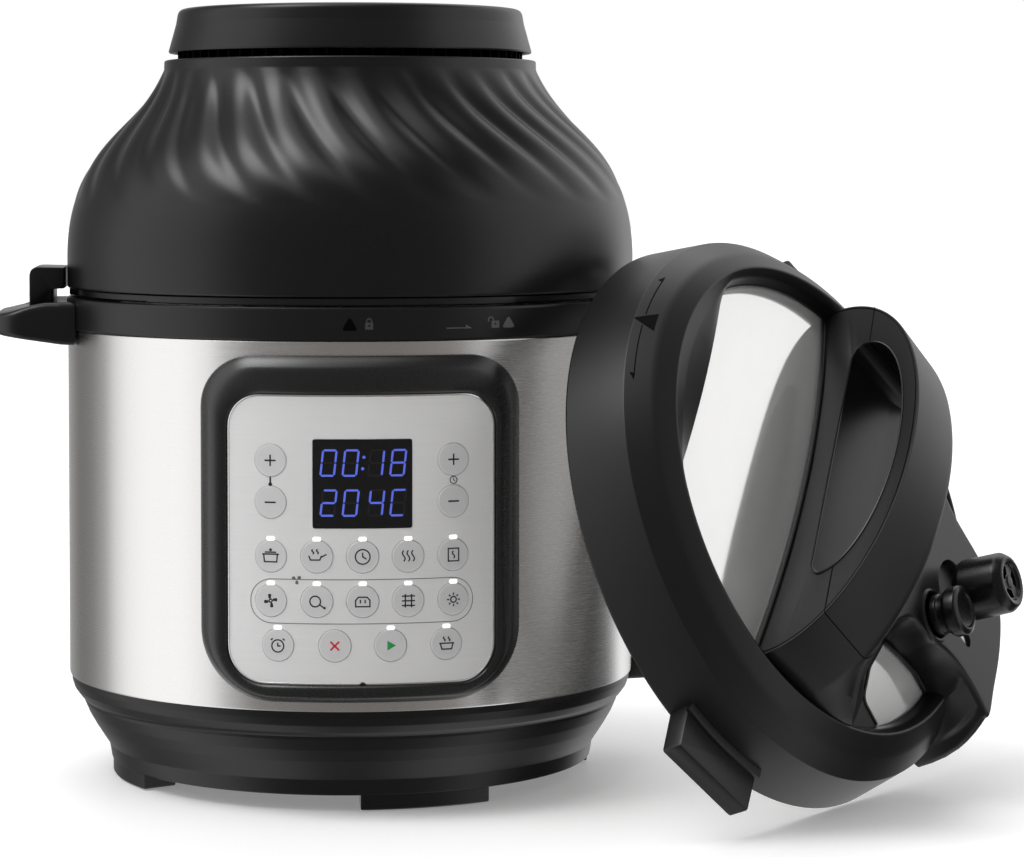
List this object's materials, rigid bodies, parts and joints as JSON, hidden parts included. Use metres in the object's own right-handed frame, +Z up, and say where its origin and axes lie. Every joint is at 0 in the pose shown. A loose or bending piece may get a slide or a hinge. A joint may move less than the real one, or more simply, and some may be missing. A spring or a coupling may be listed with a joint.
{
  "type": "electric pressure cooker",
  "caption": "Round countertop electric pressure cooker with a domed air-fryer lid fitted, its curved button panel in front, and the arched-handle pressure lid leaning on its side handle.",
  "frame": {"origin": "on the surface that it stands on, under the middle of the whole set's box", "axes": "+Z up, -Y is the front with the control panel, +X is the viewer's right, where the pressure lid leans"},
  "size_m": [0.5508, 0.4148, 0.417],
  "materials": {
    "black_plastic": "fine satin texture",
    "panel_silver": "brushed silver film on the control panel",
    "key_grey": "satin grey",
    "brushed_steel": "brushed round the body",
    "polished_steel": "mirror-polished stainless steel",
    "aluminium": "satin",
    "display_glass": "dark clear window, opaque when unlit",
    "silicone": "translucent grey silicone",
    "circuit_board": "green solder mask",
    "rubber": "matte"
  },
  "bodies": {
    "base": {"bottom_housing": "black_plastic", "bottom_cover": "black_plastic", "foot_1": "rubber", "foot_2": "rubber", "foot_3": "rubber", "foot_4": "rubber", "steel_shell": "brushed_steel", "top_collar": "black_plastic", "locking_ring": "brushed_steel", "chamber_liner": "aluminium", "heating_plate": "aluminium", "power_board": "circuit_board", "control_board": "circuit_board", "handle_left": "black_plastic", "handle_right": "black_plastic", "panel_bezel": "black_plastic", "panel_face": "panel_silver", "display_window": "display_glass", "power_inlet": "black_plastic"},
    "inner_pot": {"inner_pot": "brushed_steel"},
    "temperature_sensor": {"temperature_sensor": "aluminium"},
    "condensation_cup": {"condensation_cup": "black_plastic"},
    "air_fryer_lid": {"air_lid_dome": "black_plastic", "air_lid_cap": "black_plastic", "air_lid_ring": "black_plastic", "lid_plug": "black_plastic", "heat_shield": "aluminium", "heating_element": "brushed_steel", "element_guard": "brushed_steel", "fan_motor": "brushed_steel"},
    "fan_rotor": {"motor_shaft": "brushed_steel", "convection_fan": "aluminium", "cooling_fan": "aluminium"},
    "pressure_lid": {"lid_cover": "black_plastic", "lid_plate": "polished_steel", "inner_lid": "brushed_steel", "sealing_ring": "silicone", "lid_handle": "black_plastic", "exhaust_pipe": "brushed_steel"},
    "release_button": {"release_button": "black_plastic"},
    "steam_valve": {"steam_valve": "black_plastic"},
    "float_valve": {"float_valve": "brushed_steel"},
    "key_temp_up": {"key_temp_up": "key_grey"},
    "key_temp_down": {"key_temp_down": "key_grey"},
    "key_time_up": {"key_time_up": "key_grey"},
    "key_time_down": {"key_time_down": "key_grey"},
    "key_pressure_cook": {"key_pressure_cook": "key_grey"},
    "key_saute": {"key_saute": "key_grey"},
    "key_slow_cook": {"key_slow_cook": "key_grey"},
    "key_steam": {"key_steam": "key_grey"},
    "key_sous_vide": {"key_sous_vide": "key_grey"},
    "key_air_fry": {"key_air_fry": "key_grey"},
    "key_roast": {"key_roast": "key_grey"},
    "key_bake": {"key_bake": "key_grey"},
    "key_grill": {"key_grill": "key_grey"},
    "key_dehydrate": {"key_dehydrate": "key_grey"},
    "key_delay_start": {"key_delay_start": "key_grey"},
    "key_cancel": {"key_cancel": "key_grey"},
    "key_start": {"key_start": "key_grey"},
    "key_keep_warm": {"key_keep_warm": "key_grey"}
  },
  "joints": [
    {"name": "air_fryer_lid_lift", "type": "slide", "parent": "base", "child": "air_fryer_lid", "axis": [0, 0, 1], "range_m": [0, 0.45]},
    {"name": "inner_pot_lift", "type": "slide", "parent": "base", "child": "inner_pot", "axis": [0, 0, 1], "range_m": [0, 0.2025]},
    {"name": "fan_spin", "type": "hinge", "parent": "air_fryer_lid", "child": "fan_rotor", "pos_m": [-0.0824, 0.0284, 0.33], "axis": [0, 0, 1], "continuous": true},
    {"name": "temperature_sensor_press", "type": "slide", "parent": "base", "child": "temperature_sensor", "axis": [0, 0, 1], "range_m": [-0.002, 0], "stiffness_N_per_m": 500, "springref_m": 0.002},
    {"name": "condensation_cup_pull", "type": "slide", "parent": "base", "child": "condensation_cup", "axis": [0, 1, 0], "range_m": [0, 0.05]},
    {"name": "pressure_lid_lift", "type": "slide", "parent": "base", "child": "pressure_lid", "axis": [0.7067, -0.61, 0.3584], "range_m": [0, 0.2]},
    {"name": "release_button_press", "type": "slide", "parent": "pressure_lid", "child": "release_button", "axis": [0.7067, -0.61, 0.3584], "range_m": [-0.004, 0], "stiffness_N_per_m": 400, "springref_m": 0.002},
    {"name": "steam_valve_lift", "type": "slide", "parent": "pressure_lid", "child": "steam_valve", "axis": [0.7067, -0.61, 0.3584], "range_m": [0, 0.002]},
    {"name": "float_valve_rise", "type": "slide", "parent": "pressure_lid", "child": "float_valve", "axis": [0.7067, -0.61, 0.3584], "range_m": [0, 0.004]},
    {"name": "key_temp_up_press", "type": "slide", "parent": "base", "child": "key_temp_up", "axis": [0.2897, 0.9571, 0], "range_m": [0, 0.0006], "stiffness_N_per_m": 600, "springref_m": -0.001},
    {"name": "key_temp_down_press", "type": "slide", "parent": "base", "child": "key_temp_down", "axis": [0.2897, 0.9571, 0], "range_m": [0, 0.0006], "stiffness_N_per_m": 600, "springref_m": -0.001},
    {"name": "key_time_up_press", "type": "slide", "parent": "base", "child": "key_time_up", "axis": [-0.2897, 0.9571, 0], "range_m": [0, 0.0006], "stiffness_N_per_m": 600, "springref_m": -0.001},
    {"name": "key_time_down_press", "type": "slide", "parent": "base", "child": "key_time_down", "axis": [-0.2897, 0.9571, 0], "range_m": [0, 0.0006], "stiffness_N_per_m": 600, "springref_m": -0.001},
    {"name": "key_pressure_cook_press", "type": "slide", "parent": "base", "child": "key_pressure_cook", "axis": [0.2891, 0.9573, 0], "range_m": [0, 0.0006], "stiffness_N_per_m": 600, "springref_m": -0.001},
    {"name": "key_saute_press", "type": "slide", "parent": "base", "child": "key_saute", "axis": [0.1446, 0.9895, 0], "range_m": [0, 0.0006], "stiffness_N_per_m": 600, "springref_m": -0.001},
    {"name": "key_slow_cook_press", "type": "slide", "parent": "base", "child": "key_slow_cook", "axis": [0, 1, 0], "range_m": [0, 0.0006], "stiffness_N_per_m": 600, "springref_m": -0.001},
    {"name": "key_steam_press", "type": "slide", "parent": "base", "child": "key_steam", "axis": [-0.1446, 0.9895, 0], "range_m": [0, 0.0006], "stiffness_N_per_m": 600, "springref_m": -0.001},
    {"name": "key_sous_vide_press", "type": "slide", "parent": "base", "child": "key_sous_vide", "axis": [-0.2891, 0.9573, 0], "range_m": [0, 0.0006], "stiffness_N_per_m": 600, "springref_m": -0.001},
    {"name": "key_air_fry_press", "type": "slide", "parent": "base", "child": "key_air_fry", "axis": [0.2891, 0.9573, 0], "range_m": [0, 0.0006], "stiffness_N_per_m": 600, "springref_m": -0.001},
    {"name": "key_roast_press", "type": "slide", "parent": "base", "child": "key_roast", "axis": [0.1446, 0.9895, 0], "range_m": [0, 0.0006], "stiffness_N_per_m": 600, "springref_m": -0.001},
    {"name": "key_bake_press", "type": "slide", "parent": "base", "child": "key_bake", "axis": [0, 1, 0], "range_m": [0, 0.0006], "stiffness_N_per_m": 600, "springref_m": -0.001},
    {"name": "key_grill_press", "type": "slide", "parent": "base", "child": "key_grill", "axis": [-0.1446, 0.9895, 0], "range_m": [0, 0.0006], "stiffness_N_per_m": 600, "springref_m": -0.001},
    {"name": "key_dehydrate_press", "type": "slide", "parent": "base", "child": "key_dehydrate", "axis": [-0.2891, 0.9573, 0], "range_m": [0, 0.0006], "stiffness_N_per_m": 600, "springref_m": -0.001},
    {"name": "key_delay_start_press", "type": "slide", "parent": "base", "child": "key_delay_start", "axis": [0.2672, 0.9636, 0], "range_m": [0, 0.0006], "stiffness_N_per_m": 600, "springref_m": -0.001},
    {"name": "key_cancel_press", "type": "slide", "parent": "base", "child": "key_cancel", "axis": [0.0882, 0.9961, 0], "range_m": [0, 0.0006], "stiffness_N_per_m": 600, "springref_m": -0.001},
    {"name": "key_start_press", "type": "slide", "parent": "base", "child": "key_start", "axis": [-0.0882, 0.9961, 0], "range_m": [0, 0.0006], "stiffness_N_per_m": 600, "springref_m": -0.001},
    {"name": "key_keep_warm_press", "type": "slide", "parent": "base", "child": "key_keep_warm", "axis": [-0.2672, 0.9636, 0], "range_m": [0, 0.0006], "stiffness_N_per_m": 600, "springref_m": -0.001}
  ],
  "couplings": [
    {"joint": "inner_pot_lift", "follows": "air_fryer_lid_lift", "ratio": 0.45},
    {"joint": "steam_valve_lift", "follows": "release_button_press", "ratio": -0.5}
  ]
}
